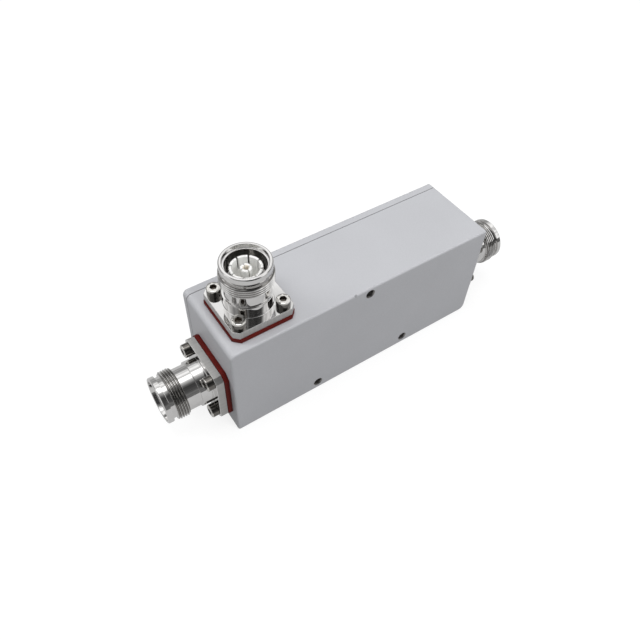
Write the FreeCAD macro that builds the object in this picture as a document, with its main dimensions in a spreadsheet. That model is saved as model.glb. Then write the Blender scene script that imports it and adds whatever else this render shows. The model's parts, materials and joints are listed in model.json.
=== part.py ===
import FreeCAD, Part
import math
import os
import re
import Sketcher

# Cavity directional coupler with three coaxial jacks: input and output on the ends, coupled port on top.
# Millimetres, +Z up, origin under the middle of the case. The front face, with three tapped holes, is on -Y.

# Every driving dimension, in millimetres. Angles are in degrees.
SIZES = {
    # Case: a milled housing, closed at the back by a cover plate
    "case_length": 122.0,
    "case_height": 49.0,
    "housing_depth": 34.0,
    "cover_thickness": 3.5,
    "upper_left_radius": 2.3,
    "lower_right_radius": 3.0,
    "edge_radius": 0.8,
    "seam_chamfer": 0.2,
    "end_wall": 8.0,
    "roof_wall": 8.0,
    "floor_wall": 7.5,
    "front_wall": 5.0,
    "cavity_corner_radius": 4.0,
    # Tapped mounting holes in the front face
    "mount_hole_diameter": 3.3,
    "mount_hole_mouth": 4.2,
    "mount_hole_depth": 8.0,
    "mount_hole_spacing": 45.5,
    "mount_hole_low": 4.2,
    "mount_hole_high": 3.2,
    # Countersunk screws of the cover plate
    "cover_screw_diameter": 3.0,
    "cover_screw_head": 5.6,
    "cover_screw_length": 9.0,
    "cover_screw_inset": 4.2,
    "cover_screw_columns": 5,
    "cover_hole_diameter": 3.4,
    "cover_recess_width": 0.7,
    "cover_recess_span": 3.0,
    "cover_recess_depth": 1.0,
    # Where the ports sit on the case
    "port_depth": 16.5,
    "main_port_height": 20.5,
    "coupled_port_inset": 17.0,
    # Port flange and its gasket
    "gasket_width": 26.2,
    "gasket_thickness": 1.9,
    "gasket_bore": 14.0,
    "gasket_corner": 2.5,
    "flange_width": 25.4,
    "flange_thickness": 3.3,
    "flange_corner": 2.0,
    "flange_chamfer": 0.2,
    "flange_hole_spacing": 18.26,
    "flange_hole_diameter": 3.4,
    # Port shell, from the flange to the front rim
    "band_diameter": 18.8,
    "band_length": 4.8,
    "neck_diameter": 17.4,
    "neck_length": 5.4,
    "thread_diameter": 20.0,
    "thread_length": 4.9,
    "thread_chamfer": 0.5,
    "groove_diameter": 17.0,
    "groove_length": 1.8,
    "rim_diameter": 19.0,
    "rim_length": 2.3,
    "rim_chamfer": 0.35,
    # Mouth of the port and the bores behind it
    "mouth_diameter": 16.4,
    "mouth_depth": 1.6,
    "throat_diameter": 15.1,
    "throat_depth": 9.0,
    "air_bore": 10.0,
    # Slotted outer contact basket
    "basket_diameter": 12.0,
    "basket_recess": 3.0,
    "basket_relief": 0.2,
    "basket_lip_length": 0.9,
    "basket_slot_width": 0.7,
    "basket_slot_length": 5.5,
    "basket_slot_count": 8,
    "basket_slot_angle": 6.0,
    # Insulator bead between the basket and a shoulder of the body
    "bead_thickness": 4.0,
    "basket_root_length": 3.0,
    # Slotted inner socket contact
    "contact_diameter": 4.3,
    "contact_recess": 3.2,
    "contact_chamfer": 0.3,
    "contact_waist": 3.4,
    "socket_diameter": 1.9,
    "socket_depth": 6.0,
    "socket_slot_width": 0.4,
    "socket_slot_length": 4.5,
    "tenon_diameter": 2.5,
    "tenon_length": 5.0,
    # Socket-head screws of the flanges
    "flange_screw_diameter": 3.0,
    "flange_screw_length": 11.0,
    "flange_screw_head": 5.5,
    "flange_screw_head_height": 3.0,
    "flange_screw_key": 2.5,
    "flange_screw_key_depth": 1.5,
    "flange_screw_chamfer": 0.3,
    # Lines inside the cavity
    "line_gap": 3.0,
    "main_line_width": 12.0,
    "main_line_height": 8.0,
    "coupling_gap": 3.0,
    "coupled_line_width": 10.0,
    "coupled_line_thickness": 3.0,
    "coupled_line_length": 66.0,
    "riser_width": 6.0,
    "load_riser_width": 2.5,
    # Insulating posts under the main line and spacers between the lines
    "post_diameter": 7.0,
    "post_spacing": 56.0,
    "spacer_diameter": 8.0,
    "spacer_inset": 14.0,
    "spigot_diameter": 3.0,
    "spigot_length": 2.5,
    # Load on the fourth port
    "load_flange_width": 8.0,
    "load_flange_length": 18.0,
    "load_flange_thickness": 2.5,
    "load_screw_spacing": 12.0,
    "load_screw_diameter": 2.5,
    "load_screw_head": 4.5,
    "load_screw_head_height": 1.8,
    "load_screw_length": 6.0,
    "load_slot_width": 0.6,
    "load_slot_depth": 0.8,
    "chip_width": 6.0,
    "chip_thickness": 2.0,
    "chip_gap": 4.0,
    "tab_width": 2.5,
    "tab_thickness": 0.4,
    # Clearances
    "fit_clearance": 0.05,
    "depth_clearance": 0.5,
}

# Places worked out from the driving dimensions, as expressions.
# In the case frame, x is from the middle of the case, y from its front face and z from its underside.
CASE_FRONT = "-(housing_depth + cover_thickness) / 2"
CAVITY_ROOF = "case_height - roof_wall"
COUPLED_PORT_X = "-case_length / 2 + coupled_port_inset"
MAIN_LINE_TOP = "main_port_height + main_line_height / 2"
COUPLED_LINE_FLOOR = f"{MAIN_LINE_TOP} + coupling_gap"
COUPLED_LINE_TOP = f"{COUPLED_LINE_FLOOR} + coupled_line_thickness"
COUPLED_LINE_END = f"{COUPLED_PORT_X} + coupled_line_length"
RISER_TOP = f"{CAVITY_ROOF} - line_gap"
LOAD_FLANGE_FLOOR = f"{CAVITY_ROOF} - load_flange_thickness"
CHIP_FLOOR = f"{LOAD_FLANGE_FLOOR} - chip_thickness"
TAB_FLOOR = f"{CHIP_FLOOR} - tab_thickness"
LOAD_X = f"{COUPLED_LINE_END} + chip_gap + chip_width / 2"

# In a port's frame, z runs out along its axis from the face of the case.
FLANGE_TOP = "gasket_thickness + flange_thickness"
BAND_TOP = f"{FLANGE_TOP} + band_length"
NECK_TOP = f"{BAND_TOP} + neck_length"
THREAD_TOP = f"{NECK_TOP} + thread_length"
GROOVE_TOP = f"{THREAD_TOP} + groove_length"
RIM_TOP = f"{GROOVE_TOP} + rim_length"
THROAT_FLOOR = f"{RIM_TOP} - throat_depth"
BASKET_TOP = f"{RIM_TOP} - basket_recess"
BEAD_TOP = f"{THROAT_FLOOR} - basket_root_length"
BEAD_FLOOR = f"{BEAD_TOP} - bead_thickness"
CONTACT_TOP = f"{RIM_TOP} - contact_recess"

# Depths of the holes that take screws and spigots, from what goes into them.
FLANGE_TAP_DEPTH = f"flange_screw_length - ({FLANGE_TOP}) + depth_clearance"
LOAD_TAP_DEPTH = "load_screw_length - load_flange_thickness + depth_clearance"
COVER_TAP_DEPTH = "cover_screw_length - cover_thickness + depth_clearance"
SPIGOT_HOLE = "spigot_diameter + 2 * fit_clearance"
SPIGOT_HOLE_DEPTH = "spigot_length + fit_clearance"
TENON_HOLE = "tenon_diameter + 2 * fit_clearance"
TENON_HOLE_DEPTH = "tenon_length + depth_clearance"

Y_AXIS = FreeCAD.Vector(0, 1, 0)
Z_AXIS = FreeCAD.Vector(0, 0, 1)
COUNTERSINK_ANGLE = 90.0

# Where sketched geometry starts from, before its dimensions put it in place.
START_SPOT = FreeCAD.Vector(100, 100)
START_RADIUS = 50.0

# Each port's name, its place on the case, the turn that points it outwards and the wall that it passes.
PORTS = (
    ("input", "-case_length / 2", "main_port_height", FreeCAD.Rotation(Y_AXIS, -90), "end_wall"),
    ("output", "case_length / 2", "main_port_height", FreeCAD.Rotation(Y_AXIS, 90), "end_wall"),
    ("coupled", COUPLED_PORT_X, "case_height", FreeCAD.Rotation(), "roof_wall"),
)

doc = FreeCAD.newDocument("directional_coupler")
nodes = []


def make_sheet():
    """Spreadsheet of the driving dimensions: a name, and beside it the value under that alias."""
    sheet = doc.addObject("Spreadsheet::Sheet", "Sizes")
    for row, (name, value) in enumerate(SIZES.items(), start=1):
        sheet.set(f"A{row}", name)
        sheet.set(f"B{row}", str(value))
        sheet.setAlias(f"B{row}", name)


def cells(expression):
    """The expression with each size's name written as its cell in the sheet."""
    return re.sub(
        r"[a-z_]+", lambda word: f"Sizes.{word[0]}" if word[0] in SIZES else word[0], expression
    )


def bind(item, **properties):
    """Bind properties of an object to expressions of the driving dimensions."""
    for name, expression in properties.items():
        item.setExpression(name, cells(expression))


def new_body(name):
    """A body that becomes the node of this name."""
    body = doc.addObject("PartDesign::Body", name)
    body.Label = name
    nodes.append(body)
    return body


def place_in_case(body):
    """Move a body modelled from the front face of the case to the centred frame."""
    body.setExpression("Placement.Base.y", cells(CASE_FRONT))


def place_at_port(body, port, turn=0.0):
    """Move a body modelled along +Z to a port, turned about the port's own axis."""
    _, across, up, rotation, _ = port
    body.Placement.Rotation = rotation.multiply(FreeCAD.Rotation(Z_AXIS, turn))
    body.setExpression("Placement.Base.x", cells(across))
    body.setExpression("Placement.Base.y", cells(f"{CASE_FRONT} + port_depth"))
    body.setExpression("Placement.Base.z", cells(up))


def new_sketch(body, name, plane="XY_Plane", offset="0"):
    """Sketch on an origin plane of the body, moved along the plane's normal."""
    support = next(item for item in body.Origin.OriginFeatures if item.Role == plane)
    sketch = body.newObject("Sketcher::SketchObject", name)
    sketch.AttachmentSupport = [(support, "")]
    sketch.MapMode = "FlatFace"
    sketch.setExpression("AttachmentOffset.Base.z", cells(offset))
    return sketch


def dimension(sketch, kind, places, start, expression):
    """Add one dimension to a sketch and bind it."""
    index = sketch.addConstraint(Sketcher.Constraint(kind, *places, start))
    sketch.setExpression(f"Constraints[{index}]", cells(expression))


def pin_point(sketch, curve, point, start, spot):
    """Dimension a point of a curve from the sketch's origin."""
    dimension(sketch, "DistanceX", (-1, 1, curve, point), start.x, spot[0])
    dimension(sketch, "DistanceY", (-1, 1, curve, point), start.y, spot[1])


def add_polygon(sketch, corners):
    """Closed outline through corners given as pairs of expressions."""
    first = sketch.GeometryCount
    count = len(corners)
    turns = [2 * math.pi * i / count for i in range(count)]
    start = [START_SPOT + START_RADIUS * FreeCAD.Vector(math.cos(turn), math.sin(turn)) for turn in turns]
    for i in range(count):
        sketch.addGeometry(Part.LineSegment(start[i], start[(i + 1) % count]))
    for i, corner in enumerate(corners):
        before = first + (i - 1) % count
        sketch.addConstraint(Sketcher.Constraint("Coincident", before, 2, first + i, 1))
        pin_point(sketch, first + i, 1, start[i], corner)


def add_rectangle(sketch, centre, width, height):
    """Rectangle about a centre."""
    across, up = centre
    signs = ((-1, -1), (1, -1), (1, 1), (-1, 1))
    add_polygon(
        sketch,
        [(f"{across} + {i} * ({width}) / 2", f"{up} + {j} * ({height}) / 2") for i, j in signs],
    )


def add_octagon(sketch, width, corner):
    """Square about the origin with its corners cut off."""
    half = f"{width} / 2"
    cut = f"({width} / 2 - {corner})"
    corners = []
    for i, j in ((1, 1), (-1, 1), (-1, -1), (1, -1)):
        pair = [(f"{i} * {half}", f"{j} * {cut}"), (f"{i} * {cut}", f"{j} * {half}")]
        corners += pair if i * j > 0 else pair[::-1]
    add_polygon(sketch, corners)


def corner_cut(width, corner):
    """Cut corner of a square plate, limited so that it leaves a wall beside the screw hole."""
    hole = "(flange_hole_diameter / 2 + 2 * flange_chamfer)"
    return f"min({corner}; {width} - flange_hole_spacing - sqrt(2) * {hole})"


def add_hexagon(sketch, centre, across_flats):
    """Regular hexagon about a centre."""
    across, up = centre
    radius = f"{across_flats} / sqrt(3)"
    add_polygon(
        sketch,
        [(f"{across} + {radius} * cos({60 * k})", f"{up} + {radius} * sin({60 * k})") for k in range(6)],
    )


def add_circles(sketch, spots, diameter):
    """Equal circles at spots given as pairs of expressions."""
    for spot in spots:
        curve = sketch.addGeometry(Part.Circle(START_SPOT, Z_AXIS, START_RADIUS))
        pin_point(sketch, curve, 3, START_SPOT, spot)
        dimension(sketch, "Diameter", (curve,), 2 * START_RADIUS, diameter)


def add_feature(body, kind, name, sketch, reverse=False, **bound):
    """Feature made from a sketch, with its sizes bound."""
    feature = body.newObject(f"PartDesign::{kind}", name)
    feature.Profile = sketch
    feature.Reversed = reverse
    bind(feature, **bound)
    return feature


def revolve(body, kind, name, outline):
    """Full turn of an outline, given as radius and height, about the body's Z axis."""
    sketch = new_sketch(body, f"{name}_outline", "XZ_Plane")
    add_polygon(sketch, outline)
    feature = add_feature(body, kind, name, sketch)
    feature.ReferenceAxis = (sketch, ["V_Axis"])
    feature.Angle = 360
    return feature


def pattern_about_axis(body, name, feature, count):
    """Copies of a feature about the body's Z axis."""
    axis = next(item for item in body.Origin.OriginFeatures if item.Role == "Z_Axis")
    pattern = body.newObject("PartDesign::PolarPattern", name)
    pattern.Originals = [feature]
    pattern.Axis = (axis, [""])
    pattern.Angle = 360
    bind(pattern, Occurrences=count)
    body.Tip = pattern
    return pattern


def mirror_end(body, name, feature):
    """Copy of a feature on the other end of a body that is centred on x = 0."""
    plane = next(item for item in body.Origin.OriginFeatures if item.Role == "YZ_Plane")
    mirror = body.newObject("PartDesign::Mirrored", name)
    mirror.Originals = [feature]
    mirror.MirrorPlane = (plane, [""])
    body.Tip = mirror
    return mirror


def edges_along_y(shape, test):
    """Names of the edges that run along Y and pass a test."""
    found = []
    for number, edge in enumerate(shape.Edges, start=1):
        ends = [vertex.Point for vertex in edge.Vertexes]
        if len(ends) == 2 and (ends[1] - ends[0]).cross(Y_AXIS).Length < 1e-6 and test(edge):
            found.append(f"Edge{number}")
    return found


def edges_in_plane(shape, normal, height):
    """Names of the edges that lie in a plane, given by its normal and its height along it."""
    return [
        f"Edge{number}"
        for number, edge in enumerate(shape.Edges, start=1)
        if all(abs(vertex.Point.dot(normal) - height) < 1e-6 for vertex in edge.Vertexes)
    ]


def dress(body, kind, name, base, edges, **bound):
    """Fillet or chamfer on edges of the feature before it."""
    feature = body.newObject(f"PartDesign::{kind}", name)
    feature.Base = (base, edges)
    bind(feature, **bound)
    return feature


def drill_countersunk(body, name, sketch, diameter, mouth, depth, reverse=False):
    """Drilled holes with a 90 degree countersink and a drill point."""
    hole = body.newObject("PartDesign::Hole", name)
    hole.Profile = sketch
    hole.ThreadType = "None"
    hole.DepthType = "Dimension"
    hole.DrillPoint = "Angled"
    hole.Reversed = reverse
    hole.HoleCutType = "Countersink"
    hole.HoleCutCountersinkAngle = COUNTERSINK_ANGLE
    bind(hole, Diameter=diameter, HoleCutDiameter=mouth, Depth=depth)
    return hole


def square_spots(spacing):
    """Four spots on a square about the origin."""
    return [(f"{i} * {spacing} / 2", f"{j} * {spacing} / 2") for i in (-1, 1) for j in (-1, 1)]


def cover_screw_spots():
    """Spots of the cover screws, along the upper and the lower edge of the case."""
    columns = int(SIZES["cover_screw_columns"])
    spots = []
    for column in range(columns):
        share = f"({column} / (cover_screw_columns - 1) - 0.5)"
        across = f"{share} * (case_length - 2 * cover_screw_inset)"
        spots.append((across, "cover_screw_inset"))
        spots.append((across, "case_height - cover_screw_inset"))
    return spots


def spacer_spots():
    """Spots of the spacers between the two lines."""
    return [
        (f"{COUPLED_PORT_X} + spacer_inset", "port_depth"),
        (f"{COUPLED_LINE_END} - spacer_inset", "port_depth"),
    ]


def post_spots():
    """Spots of the posts under the main line."""
    return [(f"{i} * post_spacing / 2", "port_depth") for i in (-1, 1)]


def load_screw_spots():
    """Spots of the two screws of the load."""
    return [(LOAD_X, f"port_depth + {i} * load_screw_spacing / 2") for i in (-1, 1)]


def make_case_block(body, front, thickness, seam_at_front):
    """Slab with the outline of the case, eased on its outer edges and chamfered at the cover's seam."""
    name = body.Name
    outline = new_sketch(body, f"{name}_outline", "XZ_Plane", f"-({front})")
    add_rectangle(outline, ("0", "case_height / 2"), "case_length", "case_height")
    block = add_feature(body, "Pad", f"{name}_block", outline, reverse=True, Length=thickness)
    doc.recompute()

    middle = block.Shape.BoundBox.Center
    for corner, left, upper, radius in (
        ("upper_left", True, True, "upper_left_radius"),
        ("lower_right", False, False, "lower_right_radius"),
        ("upper_right", False, True, "edge_radius"),
        ("lower_left", True, False, "edge_radius"),
    ):
        edges = edges_along_y(
            block.Shape,
            lambda edge: ((edge.CenterOfMass.x < middle.x) == left)
            and ((edge.CenterOfMass.z > middle.z) == upper),
        )
        block = dress(body, "Fillet", f"{name}_{corner}", block, edges, Radius=radius)
        doc.recompute()

    near, far = block.Shape.BoundBox.YMin, block.Shape.BoundBox.YMax
    outer, seam = (far, near) if seam_at_front else (near, far)
    edges = edges_in_plane(block.Shape, Y_AXIS, outer)
    block = dress(body, "Fillet", f"{name}_outer_edges", block, edges, Radius="edge_radius")
    doc.recompute()
    edges = edges_in_plane(block.Shape, Y_AXIS, seam)
    return dress(body, "Chamfer", f"{name}_seam_edges", block, edges, Size="seam_chamfer")


def make_housing():
    """Milled block: the cavity opens at the back, and the walls have the bores and taps of their parts."""
    body = new_body("housing")
    place_in_case(body)
    make_case_block(body, "0", "housing_depth", seam_at_front=False)

    cavity = new_sketch(body, "cavity_outline", "XZ_Plane", "-housing_depth")
    low = ("-case_length / 2 + end_wall", "floor_wall")
    high = ("case_length / 2 - end_wall", CAVITY_ROOF)
    add_polygon(cavity, [low, (high[0], low[1]), high, (low[0], high[1])])
    pocket = add_feature(body, "Pocket", "cavity", cavity, reverse=True, Length="housing_depth - front_wall")
    doc.recompute()
    floor = SIZES["front_wall"]
    edges = edges_along_y(
        pocket.Shape, lambda edge: abs(min(vertex.Y for vertex in edge.Vertexes) - floor) < 1e-6
    )
    dress(body, "Fillet", "cavity_corners", pocket, edges, Radius="cavity_corner_radius")

    mounts = new_sketch(body, "mount_hole_spots", "XZ_Plane")
    low_spots = [(f"{i} * mount_hole_spacing / 2", "mount_hole_low") for i in (-1, 1)]
    add_circles(mounts, low_spots + [("0", "case_height - mount_hole_high")], "mount_hole_diameter")
    doc.recompute()
    drill_countersunk(
        body, "mount_holes", mounts, "mount_hole_diameter", "mount_hole_mouth", "mount_hole_depth"
    )

    bore = new_sketch(body, "end_bore_outline", "YZ_Plane", "case_length / 2")
    add_circles(bore, [("port_depth", "main_port_height")], "air_bore")
    end_bore = add_feature(body, "Pocket", "end_bore", bore, Length="end_wall + depth_clearance")
    mirror_end(body, "far_end_bore", end_bore)

    square = square_spots("flange_hole_spacing")
    spots = [(f"port_depth + {i}", f"main_port_height + {j}") for i, j in square]
    taps = new_sketch(body, "end_tap_spots", "YZ_Plane", "case_length / 2")
    add_circles(taps, spots, "flange_screw_diameter")
    end_taps = add_feature(body, "Pocket", "end_taps", taps, Length=FLANGE_TAP_DEPTH)
    mirror_end(body, "far_end_taps", end_taps)

    bore = new_sketch(body, "roof_bore_outline", offset="case_height")
    add_circles(bore, [(COUPLED_PORT_X, "port_depth")], "air_bore")
    add_feature(body, "Pocket", "roof_bore", bore, Length="roof_wall + depth_clearance")

    spots = [(f"{COUPLED_PORT_X} + {i}", f"port_depth + {j}") for i, j in square]
    taps = new_sketch(body, "roof_tap_spots", offset="case_height")
    add_circles(taps, spots, "flange_screw_diameter")
    add_feature(body, "Pocket", "roof_taps", taps, Length=FLANGE_TAP_DEPTH)

    taps = new_sketch(body, "load_tap_spots", offset=CAVITY_ROOF)
    add_circles(taps, load_screw_spots(), "load_screw_diameter")
    add_feature(body, "Pocket", "load_taps", taps, reverse=True, Length=LOAD_TAP_DEPTH)

    sockets = new_sketch(body, "post_socket_spots", offset="floor_wall")
    add_circles(sockets, post_spots(), SPIGOT_HOLE)
    add_feature(body, "Pocket", "post_sockets", sockets, Length=SPIGOT_HOLE_DEPTH)

    taps = new_sketch(body, "cover_tap_spots", "XZ_Plane", "-housing_depth")
    add_circles(taps, cover_screw_spots(), "cover_screw_diameter")
    add_feature(body, "Pocket", "cover_taps", taps, reverse=True, Length=COVER_TAP_DEPTH)


def make_cover_plate():
    """Flat plate on the back of the housing, with countersunk holes."""
    body = new_body("cover_plate")
    place_in_case(body)
    make_case_block(body, "housing_depth", "cover_thickness", seam_at_front=True)
    spots = new_sketch(body, "cover_hole_spots", "XZ_Plane", "-(housing_depth + cover_thickness)")
    add_circles(spots, cover_screw_spots(), "cover_hole_diameter")
    doc.recompute()
    drill_countersunk(
        body, "cover_holes", spots, "cover_hole_diameter", "cover_screw_head", "cover_thickness", reverse=True
    )


def make_cover_screws():
    """Countersunk screws with a cross recess, flush with the back of the cover plate."""
    body = new_body("cover_screws")
    place_in_case(body)
    back = "-(housing_depth + cover_thickness)"
    cone_depth = "(cover_screw_head - cover_screw_diameter) / 2"
    heads = new_sketch(body, "cover_head_circles", "XZ_Plane", back)
    add_circles(heads, cover_screw_spots(), "cover_screw_head")
    cone = add_feature(body, "Pad", "cover_screw_cones", heads, Length=cone_depth)
    cone.TaperAngle = -COUNTERSINK_ANGLE / 2
    shanks = new_sketch(body, "cover_shank_circles", "XZ_Plane", f"{back} + {cone_depth}")
    add_circles(shanks, cover_screw_spots(), "cover_screw_diameter")
    add_feature(body, "Pad", "cover_screw_shanks", shanks, Length=f"cover_screw_length - {cone_depth}")
    for name, width, height in (
        ("cover_recess_across", "cover_recess_span", "cover_recess_width"),
        ("cover_recess_up", "cover_recess_width", "cover_recess_span"),
    ):
        recess = new_sketch(body, f"{name}_outline", "XZ_Plane", back)
        for spot in cover_screw_spots():
            add_rectangle(recess, spot, width, height)
        add_feature(body, "Pocket", name, recess, reverse=True, Length="cover_recess_depth")


def make_main_line():
    """Bar between the input and the output contacts, bored at both ends for their tenons."""
    body = new_body("main_line")
    place_in_case(body)
    half = "(case_length / 2 - end_wall - line_gap)"
    section = new_sketch(body, "main_line_section", "YZ_Plane", f"-{half}")
    add_rectangle(section, ("port_depth", "main_port_height"), "main_line_width", "main_line_height")
    add_feature(body, "Pad", "main_line_bar", section, Length=f"2 * {half}")
    bore = new_sketch(body, "main_tenon_outline", "YZ_Plane", half)
    add_circles(bore, [("port_depth", "main_port_height")], TENON_HOLE)
    end_bore = add_feature(body, "Pocket", "main_tenon_bore", bore, Length=TENON_HOLE_DEPTH)
    mirror_end(body, "far_tenon_bore", end_bore)
    sockets = new_sketch(body, "main_spacer_sockets", offset=MAIN_LINE_TOP)
    add_circles(sockets, spacer_spots(), SPIGOT_HOLE)
    add_feature(body, "Pocket", "spacer_sockets", sockets, Length=SPIGOT_HOLE_DEPTH)
    sockets = new_sketch(body, "main_post_sockets", offset="main_port_height - main_line_height / 2")
    add_circles(sockets, post_spots(), SPIGOT_HOLE)
    add_feature(body, "Pocket", "main_line_post_sockets", sockets, reverse=True, Length=SPIGOT_HOLE_DEPTH)


def make_coupled_line():
    """Strip over the main line: one riser meets the coupled contact, the other meets the tab of the load."""
    body = new_body("coupled_line")
    place_in_case(body)
    left = f"{COUPLED_PORT_X} - riser_width / 2"
    right = f"{COUPLED_PORT_X} + riser_width / 2"
    load_side = f"{COUPLED_LINE_END} - load_riser_width"
    side = new_sketch(body, "coupled_line_side", "XZ_Plane", "-port_depth - coupled_line_width / 2")
    add_polygon(
        side,
        [
            (left, COUPLED_LINE_FLOOR),
            (COUPLED_LINE_END, COUPLED_LINE_FLOOR),
            (COUPLED_LINE_END, TAB_FLOOR),
            (load_side, TAB_FLOOR),
            (load_side, COUPLED_LINE_TOP),
            (right, COUPLED_LINE_TOP),
            (right, RISER_TOP),
            (left, RISER_TOP),
        ],
    )
    add_feature(body, "Pad", "coupled_line_strip", side, Length="coupled_line_width")
    bore = new_sketch(body, "riser_bore_outline", offset=RISER_TOP)
    add_circles(bore, [(COUPLED_PORT_X, "port_depth")], TENON_HOLE)
    add_feature(body, "Pocket", "riser_bore", bore, Length=TENON_HOLE_DEPTH)
    sockets = new_sketch(body, "coupled_spacer_sockets", offset=COUPLED_LINE_TOP)
    add_circles(sockets, spacer_spots(), SPIGOT_HOLE)
    add_feature(body, "Pocket", "coupled_line_sockets", sockets, Length="coupled_line_thickness")


def make_spigot_pieces(name, spots, diameter, floor, height):
    """Round insulating pieces with a spigot at each end, alike and in one node."""
    body = new_body(name)
    place_in_case(body)
    top = f"{floor} + {height}"
    for feature, start, size, length, down in (
        ("barrel", floor, diameter, height, False),
        ("upper_spigot", top, "spigot_diameter", "spigot_length", False),
        ("lower_spigot", floor, "spigot_diameter", "spigot_length", True),
    ):
        circles = new_sketch(body, f"{name}_{feature}_circles", offset=start)
        add_circles(circles, spots, size)
        add_feature(body, "Pad", f"{name}_{feature}", circles, reverse=down, Length=length)


def make_load():
    """Load of the fourth port: a metal flange under the roof, a ceramic chip and a contact tab."""
    flange = new_body("load_flange")
    place_in_case(flange)
    outline = new_sketch(flange, "load_flange_outline", offset=LOAD_FLANGE_FLOOR)
    add_rectangle(outline, (LOAD_X, "port_depth"), "load_flange_width", "load_flange_length")
    add_circles(outline, load_screw_spots(), "load_screw_diameter + 2 * fit_clearance")
    add_feature(flange, "Pad", "load_flange_plate", outline, Length="load_flange_thickness")

    chip = new_body("load_chip")
    place_in_case(chip)
    outline = new_sketch(chip, "load_chip_outline", offset=CHIP_FLOOR)
    add_rectangle(outline, (LOAD_X, "port_depth"), "chip_width", "chip_width")
    add_feature(chip, "Pad", "load_chip_block", outline, Length="chip_thickness")

    tab = new_body("load_tab")
    place_in_case(tab)
    outline = new_sketch(tab, "load_tab_outline", offset=TAB_FLOOR)
    start = f"{COUPLED_LINE_END} - load_riser_width"
    low, high = "port_depth - tab_width / 2", "port_depth + tab_width / 2"
    add_polygon(outline, [(start, low), (LOAD_X, low), (LOAD_X, high), (start, high)])
    add_feature(tab, "Pad", "load_tab_strip", outline, Length="tab_thickness")

    screws = new_body("load_screws")
    place_in_case(screws)
    for name, size, length, down in (
        ("load_screw_heads", "load_screw_head", "load_screw_head_height", True),
        ("load_screw_shanks", "load_screw_diameter", "load_screw_length", False),
    ):
        circles = new_sketch(screws, f"{name}_circles", offset=LOAD_FLANGE_FLOOR)
        add_circles(circles, load_screw_spots(), size)
        add_feature(screws, "Pad", name, circles, reverse=down, Length=length)
    slots = new_sketch(screws, "load_slot_outline", offset=f"{LOAD_FLANGE_FLOOR} - load_screw_head_height")
    for spot in load_screw_spots():
        add_rectangle(slots, spot, "load_slot_width", "load_screw_head + 2 * depth_clearance")
    add_feature(screws, "Pocket", "load_slots", slots, reverse=True, Length="load_slot_depth")


def make_port_body(port):
    """Turned and milled body of a jack: flange, neck, threaded collar, groove, rim and stepped bore."""
    name = f"{port[0]}_body"
    body = new_body(name)
    place_at_port(body, port)
    flange = new_sketch(body, f"{name}_flange_outline", offset="gasket_thickness")
    add_octagon(flange, "flange_width", corner_cut("flange_width", "flange_corner"))
    plate = add_feature(body, "Pad", f"{name}_flange", flange, Length="flange_thickness")
    doc.recompute()
    edges = edges_in_plane(plate.Shape, Z_AXIS, plate.Shape.BoundBox.ZMax)
    dress(body, "Chamfer", f"{name}_flange_edges", plate, edges, Size="flange_chamfer")

    band, neck, thread = "band_diameter / 2", "neck_diameter / 2", "thread_diameter / 2"
    groove, rim = "groove_diameter / 2", "rim_diameter / 2"
    revolve(
        body,
        "Revolution",
        f"{name}_shell",
        [
            ("0", FLANGE_TOP),
            (band, FLANGE_TOP),
            (band, BAND_TOP),
            (neck, BAND_TOP),
            (neck, NECK_TOP),
            (f"{thread} - thread_chamfer", NECK_TOP),
            (thread, f"{NECK_TOP} + thread_chamfer"),
            (thread, f"{THREAD_TOP} - thread_chamfer"),
            (f"{thread} - thread_chamfer", THREAD_TOP),
            (groove, THREAD_TOP),
            (groove, GROOVE_TOP),
            (f"{rim} - rim_chamfer", GROOVE_TOP),
            (rim, f"{GROOVE_TOP} + rim_chamfer"),
            (rim, f"{RIM_TOP} - rim_chamfer"),
            (f"{rim} - rim_chamfer", RIM_TOP),
            ("0", RIM_TOP),
        ],
    )

    mouth, throat = "mouth_diameter / 2", "throat_diameter / 2"
    seat, air = "basket_diameter / 2", "air_bore / 2"
    revolve(
        body,
        "Groove",
        f"{name}_bore",
        [
            ("0", RIM_TOP),
            (f"{mouth} + rim_chamfer", RIM_TOP),
            (mouth, f"{RIM_TOP} - rim_chamfer"),
            (mouth, f"{RIM_TOP} - mouth_depth"),
            (throat, f"{RIM_TOP} - mouth_depth - ({mouth} - {throat}) / 2"),
            (throat, THROAT_FLOOR),
            (seat, THROAT_FLOOR),
            (seat, BEAD_FLOOR),
            (air, BEAD_FLOOR),
            (air, "gasket_thickness"),
            ("0", "gasket_thickness"),
        ],
    )
    holes = new_sketch(body, f"{name}_hole_spots", offset=FLANGE_TOP)
    add_circles(holes, square_spots("flange_hole_spacing"), "flange_hole_diameter")
    add_feature(body, "Pocket", f"{name}_holes", holes, Length="flange_thickness")


def make_basket(port):
    """Outer contact: a sprung sleeve pressed into the body, cut into fingers with a lip at their tips."""
    name = f"{port[0]}_basket"
    body = new_body(name)
    place_at_port(body, port, SIZES["basket_slot_angle"])
    outer, inner = "basket_diameter / 2", "air_bore / 2"
    relief = f"{outer} - basket_relief"
    lip_floor = f"{BASKET_TOP} - basket_lip_length"
    finger_floor = f"{BASKET_TOP} - basket_slot_length"
    revolve(
        body,
        "Revolution",
        f"{name}_sleeve",
        [
            (inner, BEAD_TOP),
            (outer, BEAD_TOP),
            (outer, finger_floor),
            (relief, finger_floor),
            (relief, f"{lip_floor} - basket_relief"),
            (outer, lip_floor),
            (outer, f"{BASKET_TOP} - basket_relief"),
            (relief, BASKET_TOP),
            (f"{inner} + basket_relief", BASKET_TOP),
            (inner, f"{BASKET_TOP} - basket_relief"),
        ],
    )
    slot = new_sketch(body, f"{name}_slot_outline", offset=BASKET_TOP)
    add_rectangle(slot, (outer, "0"), "basket_diameter", "basket_slot_width")
    cut = add_feature(body, "Pocket", f"{name}_slot", slot, Length="basket_slot_length")
    pattern_about_axis(body, f"{name}_slots", cut, "basket_slot_count")


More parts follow.
